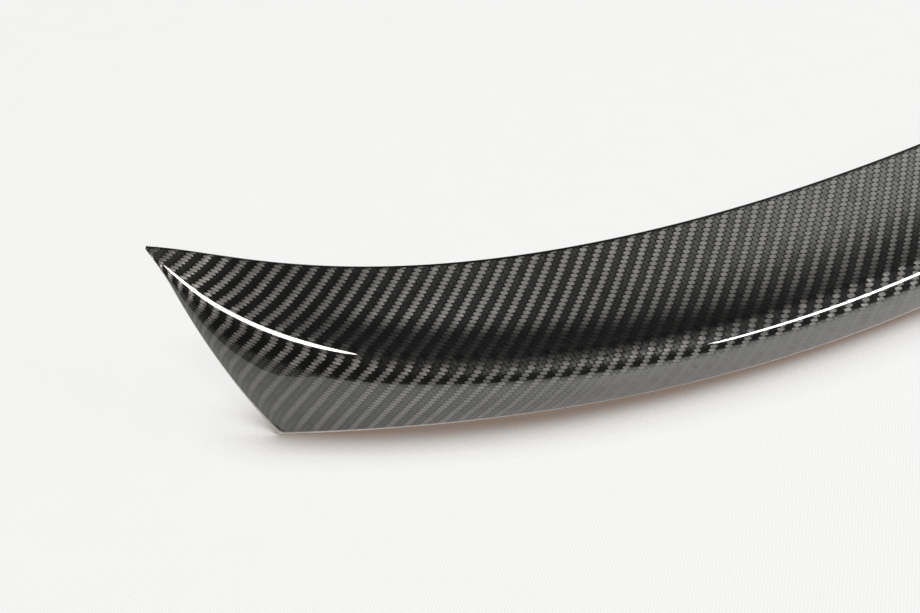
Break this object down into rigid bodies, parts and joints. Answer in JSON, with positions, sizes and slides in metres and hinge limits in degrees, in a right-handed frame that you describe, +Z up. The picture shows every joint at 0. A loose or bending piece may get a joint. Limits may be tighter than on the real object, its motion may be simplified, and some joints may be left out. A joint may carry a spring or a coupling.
{
  "type": "car rear spoiler",
  "caption": "Lip spoiler for a car's boot lid: one thin bowed carbon-fibre shell with a scooped upper face, a raised rear lip and pointed ends that wrap down.",
  "frame": {"origin": "on the surface it rests on, under the middle of the part's box", "axes": "+X along the boot lid towards the car's right side, +Y towards the front of the car, +Z up from the surface it rests on; the part rests on its lower edge, leaning back from the attitude it has on the car"},
  "size_m": [1.1064, 0.1984, 0.0635],
  "materials": {
    "carbon_laminate": "2x2 twill carbon-fibre laminate under high-gloss clear coat"
  },
  "bodies": {
    "root": {"spoiler_shell": "carbon_laminate"}
  },
  "joints": []
}
